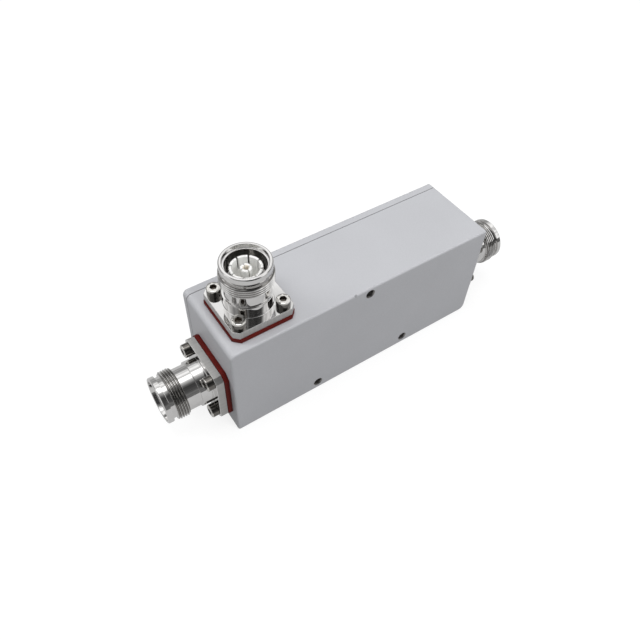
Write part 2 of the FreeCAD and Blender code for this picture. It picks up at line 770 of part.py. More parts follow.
def make_insulator(port):
    """Insulator bead moulded on the waist of the inner contact, held between the basket and a shoulder."""
    name = f"{port[0]}_insulator"
    body = new_body(name)
    place_at_port(body, port)
    outer, inner = "basket_diameter / 2", "contact_waist / 2"
    revolve(
        body,
        "Revolution",
        f"{name}_ring",
        [(inner, BEAD_FLOOR), (outer, BEAD_FLOOR), (outer, BEAD_TOP), (inner, BEAD_TOP)],
    )


def make_contact(port):
    """Inner contact: a slotted socket in front, a waist in the bead and a tenon that enters its line."""
    name = f"{port[0]}_contact"
    body = new_body(name)
    place_at_port(body, port)
    shoulder = f"-({port[4]} + line_gap)"
    rod, waist = "contact_diameter / 2", "contact_waist / 2"
    tenon, socket = "tenon_diameter / 2", "socket_diameter / 2"
    revolve(
        body,
        "Revolution",
        f"{name}_rod",
        [
            ("0", f"{shoulder} - tenon_length"),
            (tenon, f"{shoulder} - tenon_length"),
            (tenon, shoulder),
            (rod, shoulder),
            (rod, BEAD_FLOOR),
            (waist, BEAD_FLOOR),
            (waist, BEAD_TOP),
            (rod, BEAD_TOP),
            (rod, f"{CONTACT_TOP} - contact_chamfer"),
            (f"{rod} - contact_chamfer", CONTACT_TOP),
            (f"{socket} + contact_chamfer", CONTACT_TOP),
            (socket, f"{CONTACT_TOP} - contact_chamfer"),
            (socket, f"{CONTACT_TOP} - socket_depth"),
            ("0", f"{CONTACT_TOP} - socket_depth"),
        ],
    )
    slot_span = "contact_diameter + 2 * depth_clearance"
    for slot, width, height in (
        ("slot", slot_span, "socket_slot_width"),
        ("cross_slot", "socket_slot_width", slot_span),
    ):
        outline = new_sketch(body, f"{name}_{slot}_outline", offset=CONTACT_TOP)
        add_rectangle(outline, ("0", "0"), width, height)
        add_feature(body, "Pocket", f"{name}_{slot}", outline, Length="socket_slot_length")


def make_gasket(port):
    """Flat gasket between the flange and the case, a little wider than the flange."""
    name = f"{port[0]}_gasket"
    body = new_body(name)
    place_at_port(body, port)
    outline = new_sketch(body, f"{name}_outline")
    add_octagon(outline, "gasket_width", corner_cut("gasket_width", "gasket_corner"))
    add_circles(outline, [("0", "0")], "gasket_bore")
    add_circles(outline, square_spots("flange_hole_spacing"), "flange_hole_diameter")
    add_feature(body, "Pad", f"{name}_sheet", outline, Length="gasket_thickness")


def make_flange_screws(port):
    """Four socket-head cap screws of one flange, in one node."""
    name = f"{port[0]}_screws"
    body = new_body(name)
    place_at_port(body, port)
    spots = square_spots("flange_hole_spacing")
    head_top = f"{FLANGE_TOP} + flange_screw_head_height"
    shanks = new_sketch(body, f"{name}_shank_circles", offset=FLANGE_TOP)
    add_circles(shanks, spots, "flange_screw_diameter")
    add_feature(body, "Pad", f"{name}_shanks", shanks, reverse=True, Length="flange_screw_length")
    heads = new_sketch(body, f"{name}_head_circles", offset=FLANGE_TOP)
    add_circles(heads, spots, "flange_screw_head")
    head_pad = add_feature(body, "Pad", f"{name}_heads", heads, Length="flange_screw_head_height")
    doc.recompute()
    edges = edges_in_plane(head_pad.Shape, Z_AXIS, head_pad.Shape.BoundBox.ZMax)
    dress(body, "Chamfer", f"{name}_head_chamfers", head_pad, edges, Size="flange_screw_chamfer")
    keys = new_sketch(body, f"{name}_key_outline", offset=head_top)
    for spot in spots:
        add_hexagon(keys, spot, "flange_screw_key")
    add_feature(body, "Pocket", f"{name}_keys", keys, Length="flange_screw_key_depth")


def check_and_export():
    """Stop on any failed feature or bad shape, and only then write one file per node."""
    for item in doc.Objects:
        if "Invalid" in item.State or "Error" in item.State:
            raise RuntimeError(f"{item.Name} failed: {item.State}")
    for body in nodes:
        if body.Shape.isNull() or not body.Shape.isValid() or not body.Shape.Solids:
            raise RuntimeError(f"{body.Label} has no valid solid")
    os.makedirs("parts", exist_ok=True)
    for body in nodes:
        body.Shape.exportStep(f"parts/{body.Label}.step")
        print(f"{body.Label}: {len(body.Shape.Solids)} solid(s), {body.Shape.Volume:.1f} mm3")


make_sheet()
make_housing()
make_cover_plate()
make_cover_screws()
make_main_line()
make_coupled_line()
make_spigot_pieces(
    "main_line_posts",
    post_spots(),
    "post_diameter",
    "floor_wall",
    "(main_port_height - main_line_height / 2 - floor_wall)",
)
make_spigot_pieces(
    "coupled_line_spacers", spacer_spots(), "spacer_diameter", MAIN_LINE_TOP, "coupling_gap"
)
make_load()
for each_port in PORTS:
    make_gasket(each_port)
    make_port_body(each_port)
    make_basket(each_port)
    make_insulator(each_port)
    make_contact(each_port)
    make_flange_screws(each_port)
doc.recompute()
check_and_export()
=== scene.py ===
import json
import math

import bmesh
import bpy
from mathutils import Matrix, Vector

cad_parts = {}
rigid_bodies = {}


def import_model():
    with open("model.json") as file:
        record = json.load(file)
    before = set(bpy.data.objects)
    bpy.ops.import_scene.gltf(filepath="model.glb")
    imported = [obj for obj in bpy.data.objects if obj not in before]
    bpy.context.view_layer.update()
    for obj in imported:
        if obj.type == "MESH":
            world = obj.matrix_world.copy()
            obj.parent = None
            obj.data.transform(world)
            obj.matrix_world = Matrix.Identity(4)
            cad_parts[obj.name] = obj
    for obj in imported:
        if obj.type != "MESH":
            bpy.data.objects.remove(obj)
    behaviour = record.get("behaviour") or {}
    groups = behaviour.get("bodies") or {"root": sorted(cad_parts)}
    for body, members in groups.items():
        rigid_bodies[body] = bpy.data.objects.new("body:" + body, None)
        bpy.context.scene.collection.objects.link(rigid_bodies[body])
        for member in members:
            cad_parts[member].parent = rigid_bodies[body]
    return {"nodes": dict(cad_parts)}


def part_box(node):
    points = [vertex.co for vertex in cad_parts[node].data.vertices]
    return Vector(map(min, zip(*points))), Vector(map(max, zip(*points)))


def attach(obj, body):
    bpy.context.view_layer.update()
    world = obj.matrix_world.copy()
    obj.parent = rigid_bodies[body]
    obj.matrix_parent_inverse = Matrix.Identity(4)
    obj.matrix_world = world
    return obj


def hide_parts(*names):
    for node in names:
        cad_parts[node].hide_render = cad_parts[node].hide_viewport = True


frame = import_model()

# Blender's own start-up objects are no part of the scene
for start_up in [o for o in bpy.data.objects if o.name in ("Cube", "Camera", "Light")]:
    bpy.data.objects.remove(start_up)

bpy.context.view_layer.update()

bl_info = {
    "name": "Directional coupler",
    "version": (1, 0, 0),
    "blender": (4, 5, 0),
    "location": "3D View > Sidebar > Coupler",
    "description": "Dresses the packed coupler: painted case, plated jacks, gaskets, screws and stage",
    "category": "Add Mesh",
}

MM = 0.001
BODY = "root"

# Each jack's turn about +Y, in degrees, which points its axis out of the case
JACKS = {"input": -90, "output": 90, "coupled": 0}

# How the hex sockets of each jack's four screws happen to stand, in degrees
HEX_TURNS = {"input": (8, 31, 52, 17), "output": (44, 3, 25, 12), "coupled": (21, 49, 6, 38)}

# How the cross recesses of the cover's screws happen to stand, in degrees, in a lower and an upper row
CROSS_TURNS = ((12, 67, 34, 81, 5), (48, 23, 74, 39, 58))

# Attribute with a point's place in its own piece's frame, whose z runs along the piece's axis
TURNED = "turned_place"

# Steps of a full turn on the shells and collars, on small round pieces and on the M4 threads
FINE_STEPS = 144
SMALL_STEPS = 64
TAPPED_STEPS = 48

# Points nearer than this are one and the same
SAME = MM / 1000

# Edges that turn by more than CRISP stay crisp, and soften() bevels those that turn by more than SHARP
CRISP = math.radians(35)
SHARP = math.radians(30)

# Depth of a 60 degree thread with a flat crest and a rounded root, as a share of its pitch. The cones
# at its ends cut deeper than its root by the factor RUN_OUT.
THREAD_DEPTH = 0.6134
RUN_OUT = 1.05

# A thread along one pitch, as shares of pitch and depth: flat crest, flank, rounded root, other flank
THREAD_FORM = (
    (0.0, 0.0), (0.12, 0.0), (0.24, 0.4), (0.38, 0.88),
    (0.46, 1.0), (0.66, 1.0), (0.74, 0.88), (0.88, 0.4),
)

# Fillet where a jack's band meets its flange, as shares of the fillet's size
FILLET = ((1.0, 0.0), (0.3, 0.12), (0.05, 0.5), (0.0, 1.0))

# Most of a noise's values lie between these
NOISE = (0.3, 0.7)

# Half the floor's width, in metres, and the share of its colour that it scatters. To the camera it
# also glows by FLOOR_LIFT, which makes it white, and in the metal by FLOOR_GLOSS.
FLOOR_HALF = 3.0
FLOOR_SHARE = 0.3
FLOOR_LIFT = 0.8
FLOOR_GLOSS = 0.35

# Level at which the world lights the coupler
WORLD_LEVEL = 0.55

# What the metal shows of the studio. Each row has a direction, two cosines of the angle from it, and
# the level at each of them: a bright backdrop behind the coupler, a screen on its left, a pale
# ceiling with a lamp in it, and a small lamp on the right.
BACKDROP = ((0.45, 0.85, 0.0), (-0.15, 0.45), (0.16, 0.42))
LEFT_SCREEN = ((-0.95, -0.25, 0.3), (0.6, 0.8), (0.0, 1.0))
CEILING = ((0.1, 0.05, 1.0), (0.54, 0.7), (0.0, 1.08))
CEILING_LAMP = ((0.0, 0.15, 1.0), (0.95, 0.98), (0.0, 2.6))
RIGHT_LAMP = ((0.6, -0.6, 0.5), (0.955, 0.985), (0.0, 1.2))

# The ceiling ends short of the camera, and the camera's stand darkens what lies round it
CEILING_END = ((0.45, 0.85, 0.0), (-0.45, -0.1), (0.12, 1.0))
CAMERA_STAND = ((-0.45, -0.5, 0.75), (0.6, 0.82), (1.0, 0.32))

# Lamps that light the coupler: name, place and width in metres, and power in watts
LAMPS = (
    ("overhead_softbox", (-0.03, 0.0, 0.75), 0.45, 1.7),
    ("front_softbox", (0.2, -0.7, 0.65), 0.4, 3.0),
    ("left_softbox", (-0.6, 0.5, 0.6), 0.5, 2.2),
)
LAMP_AIM = (0.0, 0.0, 0.03)

# The photograph's camera: place and aim, in millimetres, focal length on a frame 36 mm wide, and roll
# in degrees
CAMERA_PLACE = (-112.34, -138.44, 224.68)
CAMERA_AIM = (-10.91, -1.76, 20.0)
CAMERA_LENS = 35.331
CAMERA_ROLL = 3.18


def linear(hex_colour):
    """Linear colour of an sRGB hex value."""
    value = int(hex_colour.lstrip("#"), 16)
    parts = [(value >> shift & 255) / 255 for shift in (16, 8, 0)]
    return [p / 12.92 if p <= 0.04045 else ((p + 0.055) / 1.055) ** 2.4 for p in parts]


def span(node, axis):
    """Extent of a CAD node along an axis, in millimetres."""
    low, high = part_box(node)
    return (high[axis] - low[axis]) / MM


def above_case(node, end=1):
    """Height of a coupled jack's node above the top of the case, in millimetres."""
    return (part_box(node)[end].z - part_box("housing")[1].z) / MM


def length(name, description, millimetres):
    metric = {"precision": 5, "unit": "LENGTH", "subtype": "DISTANCE"}
    return bpy.props.FloatProperty(name=name, description=description, default=millimetres * MM, **metric)


def colour(name, description, hex_colour):
    return bpy.props.FloatVectorProperty(
        name=name, description=description, default=linear(hex_colour), size=3, subtype="COLOR"
    )


class CouplerSizes(bpy.types.PropertyGroup):
    """Sizes of the pieces that this script shapes."""

    flange_width: length("Flange width", "Across the flats of a flange", span("coupled_body", 0))
    flange_corner: length("Flange corner", "Cut off each corner of a flange", 2.0)
    flange_floor: length("Flange floor", "Underside of a flange above the case", above_case("coupled_gasket"))
    flange_top: length("Flange top", "Top of a flange above the case", 5.2)
    hole_spacing: length("Hole spacing", "Between the screw holes of a flange", 18.26)
    hole_diameter: length("Hole diameter", "Screw holes of a flange", 3.4)
    band_diameter: length("Band diameter", "Round band next to a flange", 18.8)
    band_top: length("Band top", "Top of the band above the case", 10.0)
    neck_diameter: length("Neck diameter", "Smooth neck under the thread", 17.4)
    neck_top: length("Neck top", "Top of the neck above the case", 15.4)
    thread_diameter: length("Thread diameter", "Outer diameter of the coupling thread", 20.0)
    thread_top: length("Thread top", "Top of the thread above the case", 20.3)
    thread_pitch: length("Thread pitch", "Pitch of the coupling thread", 1.0)
    groove_diameter: length("Groove diameter", "Groove between the thread and the rim", 17.0)
    groove_top: length("Groove top", "Top of the groove above the case", 22.1)
    rim_diameter: length("Rim diameter", "Front rim of a jack", 19.0)
    rim_top: length("Rim top", "Front of a jack above the case", above_case("coupled_body"))
    mouth_diameter: length("Mouth diameter", "First bore behind the rim", 16.4)
    mouth_depth: length("Mouth depth", "Depth of the first bore", 1.6)
    throat_diameter: length("Throat diameter", "Bore round the contact basket", 15.1)
    throat_floor: length("Throat floor", "Floor of the throat above the case", 15.4)
    air_bore: length("Air bore", "Bore between the shoulder and the case", 10.0)
    basket_diameter: length("Basket diameter", "Outer contact basket", span("coupled_basket", 0))
    basket_bore: length("Basket bore", "Inside of the outer contact basket", 10.0)
    basket_floor: length("Basket floor", "Underside of the basket", above_case("coupled_basket", 0))
    basket_top: length("Basket top", "Tips of the basket above the case", above_case("coupled_basket"))
    basket_slot: length("Basket slot", "Width of the basket's slots", 0.7)
    basket_slot_depth: length("Basket slot depth", "Length of the basket's slots", 5.5)
    contact_diameter: length("Contact diameter", "Inner contact", 4.3)
    contact_top: length("Contact top", "Front of the inner contact", above_case("coupled_contact"))
    contact_bore: length("Contact bore", "Bore of the inner contact", 1.9)
    contact_slot: length("Contact slot", "Width of the inner contact's slots", 0.4)
    contact_slot_depth: length("Contact slot depth", "Length of the inner contact's slots", 4.5)
    contact_bore_depth: length("Contact bore depth", "Depth of the inner contact's bore", 6.0)
    contact_waist: length("Contact waist", "Inner contact inside its bead", 3.4)
    tenon_diameter: length("Tenon diameter", "End of the inner contact, in the line", 2.5)
    tenon_length: length("Tenon length", "Part of the contact that enters its line", 5.0)
    bead_top: length("Bead top", "Front of the insulator bead", above_case("coupled_insulator"))
    bead_floor: length("Bead floor", "Back of the insulator bead", above_case("coupled_insulator", 0))
    gasket_width: length("Gasket width", "Across the flats of a gasket", span("coupled_gasket", 0))
    gasket_corner: length("Gasket corner", "Cut off each corner of a gasket", 2.5)
    gasket_bore: length("Gasket bore", "Hole in the middle of a gasket", 14.0)
    screw_diameter: length("Screw diameter", "Shank of a flange screw", 3.0)
    screw_length: length("Screw length", "Shank of a flange screw", 11.0)
    screw_head: length("Screw head", "Diameter of a socket head", 5.5)
    screw_head_height: length("Screw head height", "Height of a socket head", 3.0)
    screw_key: length("Screw key", "Across the flats of the hex socket", 2.5)
    screw_key_depth: length("Screw key depth", "Depth of the hex socket", 1.5)
    cover_head: length("Cover screw head", "Countersunk head of a cover screw", 5.6)
    cover_screw_diameter: length("Cover screw diameter", "Shank of a cover screw", 3.0)
    cover_screw_length: length("Cover screw length", "Whole cover screw", span("cover_screws", 1))
    cover_recess_span: length("Cover recess span", "Across the cross recess", 3.0)
    cover_recess_width: length("Cover recess width", "Width of the recess's arms", 0.7)
    cover_recess_depth: length("Cover recess depth", "Depth of the cross recess", 1.0)
    mount_hole: length("Mounting hole", "Tapping diameter of a mounting hole", 3.3)
    mount_mouth: length("Mounting hole's mouth", "Countersink of a mounting hole", 4.15)
    mount_pitch: length("Mounting pitch", "Pitch of the M4 mounting threads", 0.7)
    mount_spacing: length("Mounting spacing", "Between the two lower mounting holes", 45.5)
    mount_low: length("Lower mounting holes", "Height of the lower mounting holes", 4.2)
    mount_high: length("Upper mounting hole", "From the top of the case to the upper hole", 3.2)


class CouplerColours(bpy.types.PropertyGroup):
    """Colours of the finishes, as they look in plain daylight."""

    enamel: colour("Enamel", "Sprayed silver-grey enamel of the case", "#B9BABE")
    # Partly bare oily metal, partly painted shade: the dark colour of the mounting holes and their
    # countersinks
    tapped_and_shaded: colour("Tapped", "Aluminium in the mounting holes, dark with oil", "#8C8A88")
    # Partly grime, partly painted shade: the seam's dark line stands in for the shade in the joint
    seam_dirt_and_shade: colour("Dirt", "Dirt in the seam of the cover", "#4A4A4C")
    chipped: colour("Chipped", "Bare metal in a chip of the enamel", "#8F9093")
    bronze: colour("White bronze", "Bright plating of the jacks", "#E2E1E0")
    milled: colour("Milled white bronze", "Duller plating on the edges of the flanges", "#C6C5C3")
    # Partly polishing residue, partly painted shade: darker plating for the roots of the threads
    root_residue_and_shade: colour("Stained white bronze", "Plating at the roots of the threads", "#999794")
    silver: colour("Silver", "Plating of the contacts and lines", "#FBFBF9")
    gilt: colour("Gilt", "Thin gold in the sockets", "#F0E9DC")
    steel: colour("Steel", "Stainless screws", "#E0DEDA")
    # Partly oil, partly painted shade: the screws' sides are darker than their bright tops
    oiled_and_shaded: colour("Oiled steel", "Sides of the flange screws, dark with oil", "#7A7773")
    socket: colour("Screw socket", "Hex sockets of the flange screws, brown with oil", "#9A938B")
    silicone: colour("Silicone", "Dark red gaskets", "#5C1611")
    fluoropolymer: colour("Fluoropolymer", "Insulating beads and posts", "#F3F2EE")
    alumina: colour("Alumina", "Chip of the load", "#EDEBE4")
    floor: colour("Floor", "Studio floor", "#E6E6E6")


def chosen(context):
    """Sizes and colours that the sidebar shows."""
    return context.scene.coupler_sizes, context.scene.coupler_colours


# Nodes and materials


def wire(tree, node, inputs):
    """Link a node's inputs to sockets or set them to values, given by name or in order."""
    for key, value in inputs.items() if isinstance(inputs, dict) else enumerate(inputs):
        if isinstance(value, bpy.types.NodeSocket):
            tree.links.new(value, node.inputs[key])
        else:
            node.inputs[key].default_value = value


def add(tree, kind, inputs=(), **settings):
    """Add a node with its settings and its inputs, as wire() takes them, and return its outputs."""
    node = tree.nodes.new("ShaderNode" + kind)
    for name, value in settings.items():
        setattr(node, name, value)
    wire(tree, node, inputs)
    return node.outputs


def new_material(name):
    """A material with only a Principled shader, which is returned with its tree."""
    material = bpy.data.materials.new(name)
    material.use_nodes = True
    tree = material.node_tree
    return material, tree, tree.nodes["Principled BSDF"]


def rgba(values, factor=1.0):
    return [v * factor for v in values] + [1.0]


def towards(tree, way, direction, reach, levels):
    """Level that changes smoothly as the cosine between a ray and a direction runs along its reach."""
    axis = Vector(direction).normalized()
    along = add(tree, "VectorMath", (way, axis), operation="DOT_PRODUCT")["Value"]
    return add(tree, "MapRange", (along, *reach, *levels), interpolation_type="SMOOTHSTEP")["Result"]


def face_with(tree, shader, tint, tone, relief, others):
    """Tint a shader by one pattern, emboss it by another and wire its other inputs.

    tone is a pattern with the range that it has and the range that it is given. relief is a
    pattern with its strength and its depth in metres.
    """
    level = add(tree, "MapRange", tone)["Result"]
    tinted = add(tree, "Mix", {0: 1.0, 6: rgba(tint), 7: level}, data_type="RGBA", blend_type="MULTIPLY")[2]
    height, strength, depth = relief
    bump = add(tree, "Bump", {"Height": height, "Strength": strength, "Distance": depth})["Normal"]
    wire(tree, shader, {"Base Color": tinted, "Normal": bump, **others})


def sprayed_enamel(colours, chip, seam):
    """Satin silver-grey enamel, sprayed on milled aluminium.

    The eye sees an even grey with a soft broad gloss, a faint orange peel, fine metallic
    grain, a dark line of grime and painted shade where the cover meets the housing and, at one
    spot of the top front edge, a small chip down to the metal.
    """
    material, tree, shader = new_material("sprayed_enamel")
    place = add(tree, "TexCoord")["Object"]
    # Clouding of the spray, about 30 mm wide; grain of the metallic pigment, whose real flakes of
    # 0.03 mm are drawn 0.35 mm wide so that they show; ragged outline of the chip; orange peel,
    # 1.2 mm wide
    clouds, grain, ragged, peel = (
        add(tree, "TexNoise", {"Vector": place, "Scale": scale, "Detail": detail})["Fac"]
        for scale, detail in ((33.0, 2.0), (2800.0, 1.0), (1500.0, 2.0), (850.0, 1.0))
    )
    shade = add(tree, "MapRange", (clouds, *NOISE, 0.965, 1.02))["Result"]
    glint = add(tree, "MapRange", (grain, *NOISE, 0.97, 1.03))["Result"]
    level = add(tree, "Math", (shade, glint), operation="MULTIPLY")[0]
    tinted = {0: 1.0, 6: rgba(colours.enamel), 7: level}
    painted = add(tree, "Mix", tinted, data_type="RGBA", blend_type="MULTIPLY")[2]
    # Grime and painted shade in the seam, 0.25 mm wide
    off = add(tree, "Math", (add(tree, "SeparateXYZ", [place])["Y"], seam), operation="SUBTRACT")[0]
    aside = add(tree, "Math", [off], operation="ABSOLUTE")[0]
    seam_dirt_and_shade = add(tree, "MapRange", (aside, 0.1 * MM, 0.2 * MM, 0.75, 0.0))["Result"]
    # The chip: 1.1 mm across with a ragged outline
    away = add(tree, "VectorMath", (place, chip), operation="DISTANCE")["Value"]
    reach = add(tree, "Math", (ragged, 1.2 * MM, away), operation="MULTIPLY_ADD")[0]
    bare = add(tree, "MapRange", (reach, 1.15 * MM, 1.3 * MM, 1.0, 0.0))["Result"]
    for share, over in ((seam_dirt_and_shade, colours.seam_dirt_and_shade), (bare, colours.chipped)):
        painted = add(tree, "Mix", {0: share, 6: painted, 7: rgba(over)}, data_type="RGBA")[2]
    # The peel is a few micrometres deep, and the chip lies four times as deep
    height = add(tree, "Math", (bare, -4.0, peel), operation="MULTIPLY_ADD")[0]
    bump = add(tree, "Bump", {"Height": height, "Strength": 0.25, "Distance": 0.03 * MM})["Normal"]
    sheen = add(tree, "MapRange", (clouds, *NOISE, 0.4, 0.47))["Result"]
    wire(tree, shader, {"Base Color": painted, "Normal": bump, "Roughness": sheen, "IOR": 1.5})
    return material


def turned_metal(name, tint, roughness, marks, dull=0.0, milky=0.0):
    """Metal turned on a lathe and plated: fine rings round the axis, which stretch each highlight.

    The rings come from the distance to the axis and the height along it, so they follow the
    surface of every jack. roughness is its least and most, and marks the width and depth of a
    tool mark in millimetres. dull darkens the stains. milky is the share of the light that a
    matt silver plate scatters as white paint does.
    """
    material, tree, shader = new_material(name)
    width, depth = (size * MM for size in marks)
    place = add(tree, "Attribute", attribute_name=TURNED)["Vector"]
    x, y, height = add(tree, "SeparateXYZ", [place])
    flat = add(tree, "CombineXYZ", (x, y))[0]
    radius = add(tree, "VectorMath", [flat], operation="LENGTH")["Value"]
    across = add(tree, "CombineXYZ", (radius, height))[0]
    ringed = {"Vector": across, "Scale": 0.5 / width, "Detail": 3.0, "Roughness": 0.6}
    rings = add(tree, "TexNoise", ringed)["Fac"]
    # Faint stains of handling and plating, about 3 mm wide
    stains = add(tree, "TexNoise", {"Vector": place, "Scale": 330.0, "Detail": 3.0})["Fac"]
    gloss = add(tree, "MapRange", (stains, 0.35, 0.7, *roughness))["Result"]
    tone = (stains, 0.3, 0.75, 1.0, 0.93 - dull)
    face_with(tree, shader, tint, tone, (rings, 0.6, depth), {"Roughness": gloss, "Metallic": 1.0 - milky})
    return material


def milled_metal(name, tint, roughness, cutter_step):
    """Plated metal with the straight marks of a milling cutter, square to the flange.

    The flange's edges look greyer and duller than its face, with faint upright strokes.
    cutter_step is the distance between the strokes in millimetres.
    """
    material, tree, shader = new_material(name)
    place = add(tree, "Attribute", attribute_name=TURNED)["Vector"]
    long = add(tree, "Mapping", {"Vector": place, "Scale": (1.0, 1.0, 0.04)})[0]
    stroked = {"Vector": long, "Scale": 0.5 / (cutter_step * MM), "Detail": 2.0, "Roughness": 0.7}
    strokes = add(tree, "TexNoise", stroked)["Fac"]
    tone, relief = (strokes, *NOISE, 0.86, 1.0), (strokes, 0.6, 0.02 * MM)
    face_with(tree, shader, tint, tone, relief, {"Roughness": roughness, "Metallic": 1.0})
    return material


def drawn_metal(name, tint, roughness):
    """Plated bar and strip inside the cavity, drawn along the case, with lengthwise scratches."""
    material, tree, shader = new_material(name)
    place = add(tree, "TexCoord")["Object"]
    long = add(tree, "Mapping", {"Vector": place, "Scale": (0.03, 1.0, 1.0)})[0]
    # Scratches 0.3 mm apart
    lines = add(tree, "TexNoise", {"Vector": long, "Scale": 1700.0})["Fac"]
    tone, relief = (lines, *NOISE, 0.9, 1.0), (lines, 0.4, 0.01 * MM)
    face_with(tree, shader, tint, tone, relief, {"Roughness": roughness, "Metallic": 1.0})
    return material


def moulded(name, tint, roughness, ior, mottle, skin, scatter=0.0, gloss=0.5):
    """Moulded rubber, fluoropolymer or fired ceramic: one colour, a little mottled, with a fine skin.

    mottle is how far the tone wanders, and skin the width and depth of the surface's grain in
    millimetres. scatter is the share of the light that sinks in, and gloss the specular level.
    """
    material, tree, shader = new_material(name)
    width, depth = (size * MM for size in skin)
    place = add(tree, "TexCoord")["Object"]
    # Patches about 4 mm wide, and the grain of the skin
    patches, grain = (
        add(tree, "TexNoise", {"Vector": place, "Scale": scale, "Detail": detail})["Fac"]
        for scale, detail in ((250.0, 3.0), (1.0 / width, 2.0))
    )
    sheen = add(tree, "MapRange", (patches, *NOISE, roughness - 0.05, roughness + 0.05))["Result"]
    others = {"Roughness": sheen, "IOR": ior, "Specular IOR Level": gloss}
    if scatter:
        others |= {"Subsurface Weight": scatter, "Subsurface Radius": (MM, MM, MM), "Subsurface Scale": 1.0}
    tone = (patches, *NOISE, 1.0 - mottle, 1.0 + mottle)
    face_with(tree, shader, tint, tone, (grain, 0.5, depth), others)
    return material


# Shaping


def turned_by(degrees, axis="Z"):
    return Matrix.Rotation(math.radians(degrees), 4, axis)


def line(bm, points, closed=False):
    """Vertices at the points, and the edges that join them in order."""
    verts = [bm.verts.new(point) for point in points]
    return verts, [bm.edges.new(pair) for pair in zip(verts, verts[1:] + verts[: int(closed)])]


def turn(bm, profile, centre=(0.0, 0.0), steps=FINE_STEPS):
    """Spin an open profile of (radius, height) pairs, in metres, about an upright axis."""
    x, y = centre
    verts, edges = line(bm, [(x + radius, y, height) for radius, height in profile])
    bmesh.ops.spin(
        bm, geom=verts + edges, cent=(x, y, 0), axis=(0, 0, 1), angle=math.tau, steps=steps, use_merge=True
    )


def eased(profile, ease):
    """Profile with each inner corner rounded by about ease, in two cuts."""
    points = [Vector(p) for p in profile]
    made = [profile[0]]
    for before, corner, after in zip(points, points[1:], points[2:]):
        back, ahead = before - corner, after - corner
        reach = min(ease, back.length * 0.45, ahead.length * 0.45)
        start, end = corner + back.normalized() * reach, corner + ahead.normalized() * reach
        for t in (0.0, 0.5, 1.0):
            made.append(tuple((1 - t) ** 2 * start + 2 * t * (1 - t) * corner + t**2 * end))
    return made + [profile[-1]]


def rims(bm):
    """Edges with a face on one side only."""
    return [e for e in bm.edges if e.is_boundary]


def level_at(item, height):
    """Whether all the corners of an edge or a face lie at one height."""
    return all(abs(v.co.z - height) < SAME for v in item.verts)


def close_flat(bm, *heights):
    """Fill the flat area between all the open rims at each height."""
    for height in heights:
        edges = [e for e in rims(bm) if level_at(e, height)]
        bmesh.ops.triangle_fill(bm, edges=edges, use_beauty=True)


def bevel(bm, edges, ease, segments):
    bmesh.ops.bevel(
        bm, geom=edges, offset=ease, affect="EDGES", segments=segments, profile=0.5, material=-1,
        clamp_overlap=True,
    )


def soften(bm, ease):
    """Bevel every sharp edge."""
    bevel(bm, [e for e in bm.edges if len(e.link_faces) == 2 and e.calc_face_angle() > SHARP], ease, 2)


def square_wall(bm, width, corner, low, high, ease):
    """Side wall of a square plate with cut corners and eased edges, open above and below."""
    half, cut = width / 2, width / 2 - corner
    quarter = ((half, -cut), (half, cut))
    spots = [spot for turned in range(4) for spot in (quarter_turn(x, y, turned) for x, y in quarter)]
    verts = [bm.verts.new((x, y, low)) for x, y in spots]
    base = bm.faces.new(verts)
    raised = bmesh.ops.extrude_face_region(bm, geom=[base])["geom"]
    block = set(verts) | {v for v in raised if isinstance(v, bmesh.types.BMVert)}
    bmesh.ops.translate(bm, vec=(0, 0, high - low), verts=list(block - set(verts)))
    bevel(bm, [e for e in bm.edges if e.verts[0] in block and e.verts[1] in block], ease, 3)
    caps = [f for f in bm.faces if level_at(f, low) or level_at(f, high)]
    bmesh.ops.delete(bm, geom=caps, context="FACES")


def quarter_turn(x, y, times):
    """A place turned by a quarter about the origin, a number of times."""
    for _ in range(times):
        x, y = -y, x
    return x, y


def corner_spots(spacing):
    """The four places of a square bolt pattern."""
    return [quarter_turn(spacing / 2, spacing / 2, times) for times in range(4)]


def helix(bm, radius, depth, pitch, low, high, lead, inward=False, steps=FINE_STEPS):
    """Right-hand 60 degree thread between two heights, each end run out to its root by a cone.

    Rows of a grid follow the helix, so each crest is one clean line. depth is from crest to
    root, lead the height of the cones at the ends.
    """
    rows = (math.ceil((high - low) / pitch) + 1) * len(THREAD_FORM)
    made = bmesh.ops.create_grid(bm, x_segments=steps, y_segments=rows, size=1.0)["verts"]
    side = -1 if inward else 1
    for vert in made:
        angle = math.pi * (vert.co.x + 1)
        turns, row = divmod(round((vert.co.y + 1) / 2 * rows), len(THREAD_FORM))
        share, sunk = THREAD_FORM[row]
        height = low + pitch * (turns + share - 1 + angle / math.tau)
        height = min(max(height, low), high)
        ends = min(height - low, high - height)
        dip = max(depth * sunk, depth * RUN_OUT * (1 - ends / lead))
        reach = radius - side * dip
        vert.co = (reach * math.cos(angle), reach * math.sin(angle), height)
    bmesh.ops.remove_doubles(bm, verts=made, dist=SAME)


def sleeve_fingers(bm, profile, count, gap, steps):
    """Sprung fingers of a slotted sleeve: a closed profile spun between neighbouring slots."""
    gap_angle = gap * len(profile) / sum(radius for radius, _ in profile)
    for k in range(count):
        start = math.tau * k / count + gap_angle / 2
        points = [(r * math.cos(start), r * math.sin(start), z) for r, z in profile]
        verts, edges = line(bm, points, closed=True)
        angle = math.tau / count - gap_angle
        bmesh.ops.spin(bm, geom=verts + edges, cent=(0, 0, 0), axis=(0, 0, 1), angle=angle, steps=steps)
    bmesh.ops.holes_fill(bm, edges=rims(bm), sides=0)


def sink(bm, outline, height, depth):
    """Wall of a recess with the given outline, and the vertices of its floor."""
    rim = line(bm, [(x, y, height) for x, y in outline], closed=True)[1]
    sunk = bmesh.ops.extrude_edge_only(bm, edges=rim)["geom"]
    floor = [v for v in sunk if isinstance(v, bmesh.types.BMVert)]
    bmesh.ops.translate(bm, vec=(0, 0, -depth), verts=floor)
    return floor


